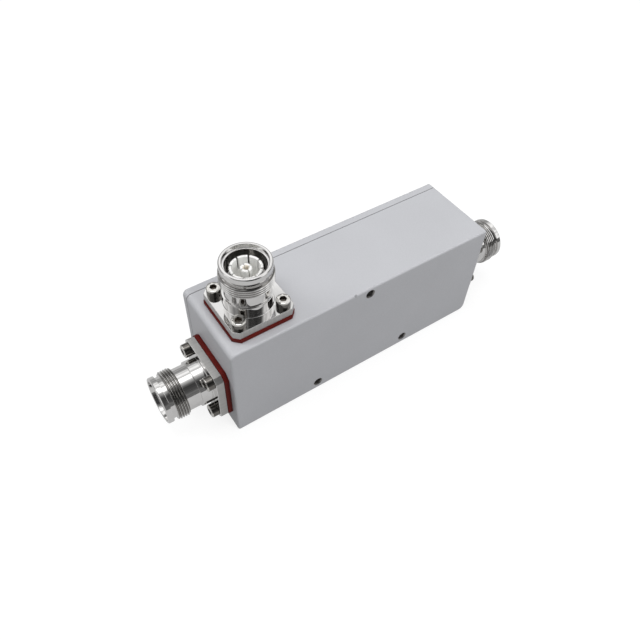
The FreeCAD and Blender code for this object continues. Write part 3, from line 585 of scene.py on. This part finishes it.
def copy_in(bm, part, matrix):
    """Add a copy of one bmesh to another, moved by a matrix."""
    mesh = bpy.data.meshes.new("copy")
    part.to_mesh(mesh)
    mesh.transform(matrix)
    bm.from_mesh(mesh)
    bpy.data.meshes.remove(mesh)


def finish_shape(bm):
    """Merge doubles, turn the faces outwards and shade by the angle of the edges.

    Each point's place in the piece's own frame is kept for the patterns of its material.
    """
    bmesh.ops.remove_doubles(bm, verts=bm.verts, dist=SAME)
    bmesh.ops.recalc_face_normals(bm, faces=bm.faces)
    for face in bm.faces:
        face.smooth = True
    for edge in bm.edges:
        edge.smooth = len(edge.link_faces) != 2 or edge.calc_face_angle() < CRISP
    layer = bm.verts.layers.float_vector.new(TURNED)
    for vert in bm.verts:
        vert[layer] = vert.co


def make_piece(name, bm, materials, slot, *nodes):
    """Turn a finished bmesh into a piece that rides on the case and replaces its CAD nodes."""
    mesh = bpy.data.meshes.new(name)
    bm.to_mesh(mesh)
    bm.free()
    for material in materials:
        mesh.materials.append(material)
    piece = bpy.data.objects.new(name, mesh)
    bpy.context.scene.collection.objects.link(piece)
    even = piece.modifiers.new("even_shading", "WEIGHTED_NORMAL")
    even.keep_sharp = True
    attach(piece, BODY)
    if nodes:
        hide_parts(*nodes)


def jack_matrix(jack):
    """From a jack's own frame, whose z runs out along its axis from the case, to the case's."""
    low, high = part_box(f"{jack}_gasket")
    out = turned_by(JACKS[jack], "Y")
    axis = out @ Vector((0, 0, 1))
    foot = (low + high) / 2 - axis * abs((high - low).dot(axis)) / 2
    return Matrix.Translation(foot) @ out


def on_each_jack(parts, name, materials, slot, node):
    """Make the same piece on every jack from finished parts in the jack's own frame."""
    for jack in JACKS:
        piece = bmesh.new()
        for part in parts:
            copy_in(piece, part, jack_matrix(jack))
        make_piece(f"{jack}_{name}", piece, materials, slot, f"{jack}_{node}")
    for part in parts:
        part.free()


def dress(material, *nodes):
    """Give CAD nodes a material."""
    for node in nodes:
        slots = frame["nodes"][node].data.materials
        if len(slots):
            slots[0] = material
        else:
            slots.append(material)


# Operators


class COUPLER_OT_case(bpy.types.Operator):
    """Paint the housing and its cover"""

    bl_idname = "coupler.case"
    bl_label = "Painted case"

    def execute(self, context):
        _, colours = chosen(context)
        low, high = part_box("housing")
        # On the top front edge, 7 mm left of the upper mounting hole
        chip = (-7.2 * MM, low.y + 0.1 * MM, high.z - 0.15 * MM)
        dress(sprayed_enamel(colours, chip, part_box("cover_plate")[0].y), "housing", "cover_plate")
        return {"FINISHED"}


class COUPLER_OT_jack_bodies(bpy.types.Operator):
    """Shape the jacks' bodies: flange, neck, helical thread, groove, rim and bores"""

    bl_idname = "coupler.jack_bodies"
    bl_label = "Jack bodies"

    def execute(self, context):
        sizes, colours = chosen(context)
        # White bronze: bright as a mirror where turned, grey on the milled edges, and darker at the roots of
        # the thread, partly polishing residue and partly painted shade
        marks = (0.12, 0.004)
        polished = turned_metal("white_bronze_turned", colours.bronze, (0.03, 0.1), marks)
        milled = milled_metal("white_bronze_milled", colours.milled, roughness=0.5, cutter_step=0.25)
        root_residue_and_shade = turned_metal("white_bronze_root_residue_and_painted_shade", colours.root_residue_and_shade, (0.12, 0.22), marks)
        collar, depth = sizes.thread_diameter / 2, THREAD_DEPTH * sizes.thread_pitch
        root = collar - RUN_OUT * depth
        flange, rim = sizes.flange_top, sizes.rim_top
        band, neck, groove = sizes.band_diameter / 2, sizes.neck_diameter / 2, sizes.groove_diameter / 2
        outer, mouth, throat = sizes.rim_diameter / 2, sizes.mouth_diameter / 2, sizes.throat_diameter / 2
        basket, air_bore = sizes.basket_diameter / 2, sizes.air_bore / 2
        ease, foot, cone = 0.14 * MM, 0.3 * MM, 0.55 * MM
        rim_edge, mouth_edge, flange_edge, hole_edge = 0.35 * MM, 0.15 * MM, 0.2 * MM, 0.15 * MM
        shape = bmesh.new()
        below = [(band + out * foot, flange + up * foot) for out, up in FILLET] + [
            (band, sizes.band_top), (neck, sizes.band_top),
            (neck, sizes.neck_top), (root, sizes.neck_top),
        ]
        turn(shape, eased(below, ease))
        helix(shape, collar, depth, sizes.thread_pitch, sizes.neck_top, sizes.thread_top, cone)
        above = [
            (root, sizes.thread_top), (groove, sizes.thread_top),
            (groove, sizes.groove_top), (outer, sizes.groove_top),
            (outer, rim - rim_edge), (outer - rim_edge, rim),
            (mouth + mouth_edge, rim), (mouth, rim - mouth_edge),
            (mouth, rim - sizes.mouth_depth), (throat, rim - sizes.mouth_depth),
            (throat, sizes.throat_floor), (basket, sizes.throat_floor),
            (basket, sizes.bead_floor), (air_bore, sizes.bead_floor),
            (air_bore, sizes.flange_floor),
        ]
        turn(shape, eased(above, ease))
        square_wall(shape, sizes.flange_width, sizes.flange_corner, sizes.flange_floor, flange, flange_edge)
        hole, floor = sizes.hole_diameter / 2, sizes.flange_floor
        wall = [(hole + hole_edge, flange), (hole, flange - hole_edge)]
        wall += [(hole, floor + hole_edge), (hole + hole_edge, floor)]
        for spot in corner_spots(sizes.hole_spacing):
            turn(shape, wall, spot, SMALL_STEPS)
        bmesh.ops.remove_doubles(shape, verts=shape.verts, dist=SAME)
        close_flat(shape, flange, floor)
        finish_shape(shape)
        # Upright faces at the flange's edge are milled, and the lower part of the thread, towards its roots,
        # takes the darker plating: partly polishing residue, partly painted shade
        skin, upright = 0.3 * MM, 0.2
        side, corner = sizes.flange_width / 2 - skin, sizes.flange_width - sizes.flange_corner - skin
        # Below this radius the thread takes the darker plating, partly residue and partly painted shade
        dark = collar - 0.6 * depth
        for face in shape.faces:
            x, y, z = (abs(value) for value in face.calc_center_median())
            if z < flange and abs(face.normal.z) < upright and (max(x, y) > side or x + y > corner):
                face.material_index = 1
            elif sizes.neck_top < z < sizes.thread_top and math.hypot(x, y) < dark:
                face.material_index = 2
        on_each_jack((shape,), "jack_body", (polished, milled, root_residue_and_shade), "plating", "body")
        return {"FINISHED"}


class COUPLER_OT_baskets(bpy.types.Operator):
    """Shape the slotted outer contact baskets in the jacks"""

    bl_idname = "coupler.baskets"
    bl_label = "Contact baskets"

    def execute(self, context):
        sizes, colours = chosen(context)
        # Matt silver plate on spring bronze, milky white in soft light
        silver = turned_metal("silver_plated_spring", colours.silver, (0.5, 0.65), (0.1, 0.006), milky=0.9)
        outer, inner = sizes.basket_diameter / 2, sizes.basket_bore / 2
        relief, lip, overlap = 0.2 * MM, 0.9 * MM, 0.02 * MM
        bottom, top = sizes.basket_floor, sizes.basket_top
        slot_floor = top - sizes.basket_slot_depth
        profile = [
            (inner, slot_floor - overlap), (outer - relief, slot_floor - overlap),
            (outer - relief, top - lip - relief), (outer, top - lip),
            (outer, top - relief), (outer - relief, top),
            (inner + relief, top), (inner, top - relief),
        ]
        fingers = bmesh.new()
        sleeve_fingers(fingers, profile, count=8, gap=sizes.basket_slot, steps=14)
        # No slot stands in line with the flange's corners
        bmesh.ops.transform(fingers, matrix=turned_by(6), verts=fingers.verts)
        soften(fingers, 0.07 * MM)
        finish_shape(fingers)
        root = bmesh.new()
        ring = [(inner, bottom), (outer, bottom), (outer, slot_floor), (inner, slot_floor), (inner, bottom)]
        turn(root, ring)
        finish_shape(root)
        on_each_jack((fingers, root), "contact_basket", (silver,), "contact", "basket")
        return {"FINISHED"}


class COUPLER_OT_insulators(bpy.types.Operator):
    """Give the insulator beads, posts and spacers their fluoropolymer"""

    bl_idname = "coupler.insulators"
    bl_label = "Insulators"

    def execute(self, context):
        _, colours = chosen(context)
        # Machined fluoropolymer: waxy, almost white, with light that sinks in a little
        waxy = {"roughness": 0.45, "ior": 1.35, "mottle": 0.03, "skin": (0.3, 0.01), "scatter": 0.3}
        bead = moulded("machined_fluoropolymer", colours.fluoropolymer, **waxy)
        dress(bead, *(f"{jack}_insulator" for jack in JACKS), "main_line_posts", "coupled_line_spacers")
        return {"FINISHED"}


class COUPLER_OT_gaskets(bpy.types.Operator):
    """Shape the flat silicone gaskets under the flanges"""

    bl_idname = "coupler.gaskets"
    bl_label = "Gaskets"

    def execute(self, context):
        sizes, colours = chosen(context)
        # Cut silicone sheet: dark red, matt with a weak sheen, slightly dusty
        matt = {"roughness": 0.6, "ior": 1.41, "mottle": 0.12, "skin": (0.25, 0.02), "gloss": 0.2}
        rubber = moulded("cut_silicone", colours.silicone, **matt)
        bore, hole, top = sizes.gasket_bore / 2, sizes.hole_diameter / 2, sizes.flange_floor
        shape = bmesh.new()
        square_wall(shape, sizes.gasket_width, sizes.gasket_corner, 0.0, top, 0.3 * MM)
        turn(shape, [(bore, 0.0), (bore, top)])
        for spot in corner_spots(sizes.hole_spacing):
            turn(shape, [(hole, 0.0), (hole, top)], spot, SMALL_STEPS)
        close_flat(shape, 0.0, top)
        finish_shape(shape)
        on_each_jack((shape,), "silicone_gasket", (rubber,), "gasket", "gasket")
        return {"FINISHED"}


class COUPLER_OT_inner_contacts(bpy.types.Operator):
    """Shape the slotted inner contacts of the jacks"""

    bl_idname = "coupler.inner_contacts"
    bl_label = "Inner contacts"

    def execute(self, context):
        sizes, colours = chosen(context)
        # Matt silver outside, and a warmer, milky plate in the socket
        marks = (0.08, 0.004)
        silver = turned_metal("silver_plated_contact", colours.silver, (0.45, 0.55), marks, milky=0.7)
        gilt = turned_metal("gilt_socket", colours.gilt, (0.4, 0.5), marks, milky=0.9)
        outer, inner = sizes.contact_diameter / 2, sizes.contact_bore / 2
        waist, tenon = sizes.contact_waist / 2, sizes.tenon_diameter / 2
        chamfer, overlap, tip_edge = 0.3 * MM, 0.02 * MM, 0.2 * MM
        tip, top = above_case("coupled_contact", 0) * MM, sizes.contact_top
        slot_floor, bore_floor = top - sizes.contact_slot_depth, top - sizes.contact_bore_depth
        profile = [
            (inner, slot_floor - overlap), (outer, slot_floor - overlap),
            (outer, top - chamfer), (outer - chamfer, top),
            (inner + chamfer, top), (inner, top - chamfer),
        ]
        fingers = bmesh.new()
        sleeve_fingers(fingers, profile, count=4, gap=sizes.contact_slot, steps=16)
        soften(fingers, 0.04 * MM)
        run = [
            (0.0, tip), (tenon - tip_edge, tip), (tenon, tip + tip_edge),
            (tenon, tip + sizes.tenon_length), (outer, tip + sizes.tenon_length),
            (outer, sizes.bead_floor), (waist, sizes.bead_floor),
            (waist, sizes.bead_top), (outer, sizes.bead_top),
            (outer, slot_floor), (inner, slot_floor), (inner, bore_floor), (0.0, bore_floor),
        ]
        stem = bmesh.new()
        turn(stem, run, steps=SMALL_STEPS)
        for part in (fingers, stem):
            finish_shape(part)
            for face in part.faces:
                middle = face.calc_center_median()
                inside = math.hypot(middle.x, middle.y) < inner + 0.6 * chamfer
                face.material_index = int(inside and middle.z > bore_floor - SAME)
        on_each_jack((fingers, stem), "inner_contact", (silver, gilt), "contact", "contact")
        return {"FINISHED"}


class COUPLER_OT_flange_screws(bpy.types.Operator):
    """Shape the socket-head screws of the flanges"""

    bl_idname = "coupler.flange_screws"
    bl_label = "Flange screws"

    def execute(self, context):
        sizes, colours = chosen(context)
        # Stainless steel: bright rings on the head, a grey side darkened partly by oil and partly by painted
        # shade, and a brown broached socket
        smeared = (0.09, 0.006)
        steel = turned_metal("stainless_cap_screw", colours.steel, (0.08, 0.18), (0.09, 0.003), dull=0.04)
        oiled_and_shaded = turned_metal("stainless_oil_and_painted_shade", colours.oiled_and_shaded, (0.1, 0.2), smeared, dull=0.1)
        broached = turned_metal("stainless_broached", colours.socket, (0.3, 0.4), smeared, dull=0.1)
        seat = sizes.flange_top
        head, top = sizes.screw_head / 2, seat + sizes.screw_head_height
        shank, tip = sizes.screw_diameter / 2, seat - sizes.screw_length
        tip_edge, seat_edge, shoulder = 0.4 * MM, 0.1 * MM, 0.12 * MM
        # The head's upper edge is rounded off in two cuts
        profile = [
            (0.0, tip), (shank - tip_edge, tip), (shank, tip + tip_edge),
            (shank, seat), (head - seat_edge, seat), (head, seat + seat_edge),
            (head, top - 0.45 * MM), (head - shoulder, top - 0.18 * MM), (head - 0.42 * MM, top),
        ]
        screw = bmesh.new()
        turn(screw, profile, steps=SMALL_STEPS)
        key = sizes.screw_key / math.sqrt(3)
        hexagon = [(key * math.cos(k * math.tau / 6), key * math.sin(k * math.tau / 6)) for k in range(6)]
        sink(screw, hexagon, top, sizes.screw_key_depth)
        close_flat(screw, top)
        # The socket's floor is a shallow dish, as the broach leaves it
        floor = bmesh.ops.contextual_create(screw, geom=rims(screw))["faces"]
        bmesh.ops.inset_region(screw, faces=floor, thickness=0.25 * MM, depth=-0.25 * MM)
        finish_shape(screw)
        for face in screw.faces:
            middle = face.calc_center_median()
            radius = math.hypot(middle.x, middle.y)
            socket = radius < key and tip + MM < middle.z < top - 0.01 * MM
            # Faces of the head's side take the darker colour, partly oil and partly painted shade
            side = radius > head - shoulder and middle.z < top - 0.4 * MM
            face.material_index = 2 if socket else int(side)
        for jack in JACKS:
            four = bmesh.new()
            for spot, angle in zip(corner_spots(sizes.hole_spacing), HEX_TURNS[jack]):
                place = Matrix.Translation((*spot, 0)) @ turned_by(angle)
                copy_in(four, screw, jack_matrix(jack) @ place)
            make_piece(f"{jack}_cap_screws", four, (steel, oiled_and_shaded, broached), "screw", f"{jack}_screws")
        screw.free()
        return {"FINISHED"}


class COUPLER_OT_cover_screws(bpy.types.Operator):
    """Shape the countersunk cross-recess screws of the cover"""

    bl_idname = "coupler.cover_screws"
    bl_label = "Cover screws"

    def execute(self, context):
        sizes, colours = chosen(context)
        # Zinc plate: a duller, greyer shine than the flange screws
        zinc = turned_metal("zinc_plated_screw", colours.steel, (0.24, 0.38), (0.1, 0.006), dull=0.04)
        head, shank = sizes.cover_head / 2, sizes.cover_screw_diameter / 2
        tip, tip_edge, rim = -sizes.cover_screw_length, 0.4 * MM, 0.08 * MM
        # In a cover screw's frame its head's face is at 0 and its tip below
        profile = [
            (0.0, tip), (shank - tip_edge, tip), (shank, tip + tip_edge),
            (shank, shank - head), (head - rim, -rim), (head - 0.2 * MM, 0.0),
        ]
        screw = bmesh.new()
        turn(screw, profile, steps=SMALL_STEPS)
        arm, reach = sizes.cover_recess_width / 2, sizes.cover_recess_span / 2
        quarter = ((reach, -arm), (reach, arm), (arm, arm))
        cross = [quarter_turn(x, y, times) for times in range(4) for x, y in quarter]
        floor = sink(screw, cross, 0.0, sizes.cover_recess_depth)
        # The arms taper to about half their size at the recess's floor
        bmesh.ops.scale(screw, vec=(0.55, 0.55, 1.0), verts=floor)
        close_flat(screw, 0.0)
        bmesh.ops.contextual_create(screw, geom=rims(screw))
        finish_shape(screw)
        low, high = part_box("cover_screws")
        first, last = low.x + head, high.x - head
        outwards = turned_by(-90, "X")
        ten = bmesh.new()
        for z, turns in zip((low.z + head, high.z - head), CROSS_TURNS):
            for column, angle in enumerate(turns):
                x = first + (last - first) * column / (len(turns) - 1)
                copy_in(ten, screw, Matrix.Translation((x, high.y, z)) @ outwards @ turned_by(angle))
        make_piece("cover_cross_screws", ten, (zinc,), "screw", "cover_screws")
        screw.free()
        return {"FINISHED"}


class COUPLER_OT_mount_threads(bpy.types.Operator):
    """Cut the M4 threads in the mounting holes"""

    bl_idname = "coupler.mount_threads"
    bl_label = "Mounting threads"

    def execute(self, context):
        sizes, colours = chosen(context)
        # Tapped aluminium: grey, with a film of cutting oil, and darker than the enamel as painted shade in
        # the holes
        tapped_and_shaded = turned_metal("bare_aluminium_and_painted_shade", colours.tapped_and_shaded, (0.35, 0.45), (0.1, 0.004))
        radius, mouth = sizes.mount_hole / 2, sizes.mount_mouth / 2
        crest, depth, film = radius - 0.13 * MM, 0.12 * MM, 0.02 * MM
        start, end, cone = 0.7 * MM, 7.6 * MM, 0.4 * MM
        thread = bmesh.new()
        helix(thread, crest, depth, sizes.mount_pitch, start, end, cone, inward=True, steps=TAPPED_STEPS)
        # The countersink and the plain start of the hole, lined by a dark film, which paints the shade in the
        # hole's mouth over the bare metal
        shade_lining = [(mouth - film, 0.0), (mouth - 2 * film, film)]
        shade_lining += [(radius - film, mouth - radius), (radius - film, start)]
        turn(thread, shade_lining, steps=SMALL_STEPS)
        finish_shape(thread)
        low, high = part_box("housing")
        aside = sizes.mount_spacing / 2
        spots = [(-aside, sizes.mount_low), (aside, sizes.mount_low), (0.0, high.z - sizes.mount_high)]
        three = bmesh.new()
        for x, z in spots:
            copy_in(three, thread, Matrix.Translation((x, low.y, z)) @ turned_by(-90, "X"))
        make_piece("mount_hole_threads", three, (tapped_and_shaded,), "case")
        thread.free()
        return {"FINISHED"}


class COUPLER_OT_inner_lines(bpy.types.Operator):
    """Give the lines and the load inside the case their finishes"""

    bl_idname = "coupler.inner_lines"
    bl_label = "Inner lines and load"

    def execute(self, context):
        _, colours = chosen(context)
        for name, tint, roughness, nodes in (
            ("silver_plated_line", colours.silver, 0.22, ("main_line", "coupled_line", "load_tab")),
            ("white_bronze_block", colours.bronze, 0.25, ("load_flange",)),
            ("zinc_plated_load_screw", colours.steel, 0.3, ("load_screws",)),
        ):
            dress(drawn_metal(name, tint, roughness), *nodes)
        # Fired alumina: off-white and matt, with a fine grain
        matt = {"roughness": 0.5, "ior": 1.77, "mottle": 0.03, "skin": (0.2, 0.01)}
        dress(moulded("fired_alumina", colours.alumina, **matt), "load_chip")
        return {"FINISHED"}


class COUPLER_OT_stage(bpy.types.Operator):
    """Set the floor, the lights, the background and the camera"""

    bl_idname = "coupler.stage"
    bl_label = "Studio stage"

    def execute(self, context):
        _, colours = chosen(context)
        scene = context.scene
        scene.view_settings.view_transform = "Standard"
        self.lay_floor(scene, colours)
        self.light(scene)
        self.aim_camera(scene)
        return {"FINISHED"}

    def lay_floor(self, scene, colours):
        """Pale floor that keeps the shadow, is white to the camera and pale in the metal."""
        plane = bmesh.new()
        bmesh.ops.create_grid(plane, x_segments=1, y_segments=1, size=FLOOR_HALF)
        mesh = bpy.data.meshes.new("floor")
        plane.to_mesh(mesh)
        plane.free()
        floor = bpy.data.objects.new("floor", mesh)
        scene.collection.objects.link(floor)
        material, tree, shader = new_material("pale_paper")
        ray = add(tree, "LightPath")
        lift = 0.0
        for seen, level in ((ray["Is Glossy Ray"], FLOOR_GLOSS), (ray["Is Camera Ray"], FLOOR_LIFT)):
            lift = add(tree, "Math", (seen, level, lift), operation="MULTIPLY_ADD")[0]
        wire(tree, shader, {"Emission Strength": lift, "Emission Color": (1, 1, 1, 1)})
        paper = {"Base Color": rgba(colours.floor, FLOOR_SHARE), "Roughness": 0.9, "Specular IOR Level": 0.0}
        wire(tree, shader, paper)
        mesh.materials.append(material)

    def light(self, scene):
        """Soft white world, in which the metal sees a studio, and three lamps, which it doesn't see."""
        world = bpy.data.worlds.new("studio")
        scene.world = world
        world.use_nodes = True
        tree = world.node_tree
        tree.nodes.clear()
        way = add(tree, "TexCoord")["Generated"]
        ray = add(tree, "LightPath")
        lit, left, ceiling, lamp, right, end, stand = (
            towards(tree, way, *row)
            for row in (BACKDROP, LEFT_SCREEN, CEILING, CEILING_LAMP, RIGHT_LAMP, CEILING_END, CAMERA_STAND)
        )
        ceiling = add(tree, "Math", (ceiling, end), operation="MULTIPLY")[0]
        for source in (left, ceiling, lamp, right):
            lit = add(tree, "Math", (lit, source), operation="MAXIMUM")[0]
        # Uneven cloth and stands, which break the bands on the metal into streaks
        folds = add(tree, "TexNoise", {"Vector": way, "Scale": 6.0, "Detail": 4.0})["Fac"]
        uneven = add(tree, "MapRange", (folds, 0.35, 0.6, 0.65, 1.15))["Result"]
        for shade in (stand, uneven):
            lit = add(tree, "Math", (lit, shade), operation="MULTIPLY")[0]
        level = WORLD_LEVEL
        for seen, shown in ((ray["Is Glossy Ray"], lit), (ray["Is Camera Ray"], 1.0)):
            level = add(tree, "Mix", {0: seen, 2: level, 3: shown}, data_type="FLOAT")[0]
        back = add(tree, "Background", {"Color": (1, 1, 1, 1), "Strength": level})[0]
        add(tree, "OutputWorld", {"Surface": back})
        for name, place, width, power in LAMPS:
            lamp = bpy.data.lights.new(name, "AREA")
            lamp.shape, lamp.size, lamp.energy = "DISK", width, power
            box = bpy.data.objects.new(name, lamp)
            box.location = place
            box.rotation_euler = (Vector(LAMP_AIM) - Vector(place)).to_track_quat("-Z", "Y").to_euler()
            box.visible_glossy = False
            scene.collection.objects.link(box)

    def aim_camera(self, scene):
        """Camera at the photograph's viewing angle, for a frame of 640 by 640 pixels."""
        camera = bpy.data.cameras.new("camera")
        camera.sensor_width = 36.0
        camera.lens = CAMERA_LENS
        camera.clip_start, camera.clip_end = 0.01, 20.0
        eye = bpy.data.objects.new("camera", camera)
        place, aim = Vector(CAMERA_PLACE) * MM, Vector(CAMERA_AIM) * MM
        level = (aim - place).to_track_quat("-Z", "Y").to_matrix().to_4x4()
        eye.matrix_world = Matrix.Translation(place) @ level @ turned_by(CAMERA_ROLL)
        scene.collection.objects.link(eye)
        scene.camera = eye


STEPS = (
    COUPLER_OT_case,
    COUPLER_OT_jack_bodies,
    COUPLER_OT_baskets,
    COUPLER_OT_insulators,
    COUPLER_OT_gaskets,
    COUPLER_OT_inner_contacts,
    COUPLER_OT_flange_screws,
    COUPLER_OT_cover_screws,
    COUPLER_OT_mount_threads,
    COUPLER_OT_inner_lines,
    COUPLER_OT_stage,
)


class COUPLER_PT_panel(bpy.types.Panel):
    """Lists the pieces, their sizes and their colours"""

    bl_label = "Directional coupler"
    bl_idname = "COUPLER_PT_panel"
    bl_space_type = "VIEW_3D"
    bl_region_type = "UI"
    bl_category = "Coupler"

    def draw(self, context):
        for step in STEPS:
            self.layout.operator(step.bl_idname)
        for group in chosen(context):
            column = self.layout.column(align=True)
            for name in group.__annotations__:
                column.prop(group, name)


CLASSES = (CouplerSizes, CouplerColours, *STEPS, COUPLER_PT_panel)


def register():
    for item in CLASSES:
        bpy.utils.register_class(item)
    bpy.types.Scene.coupler_sizes = bpy.props.PointerProperty(type=CouplerSizes)
    bpy.types.Scene.coupler_colours = bpy.props.PointerProperty(type=CouplerColours)


def unregister():
    del bpy.types.Scene.coupler_colours
    del bpy.types.Scene.coupler_sizes
    for item in reversed(CLASSES):
        bpy.utils.unregister_class(item)


def main():
    """Make every piece and the stage."""
    register()
    for step in STEPS:
        getattr(bpy.ops.coupler, step.bl_idname.split(".")[1])()


if __name__ == "__main__":
    main()
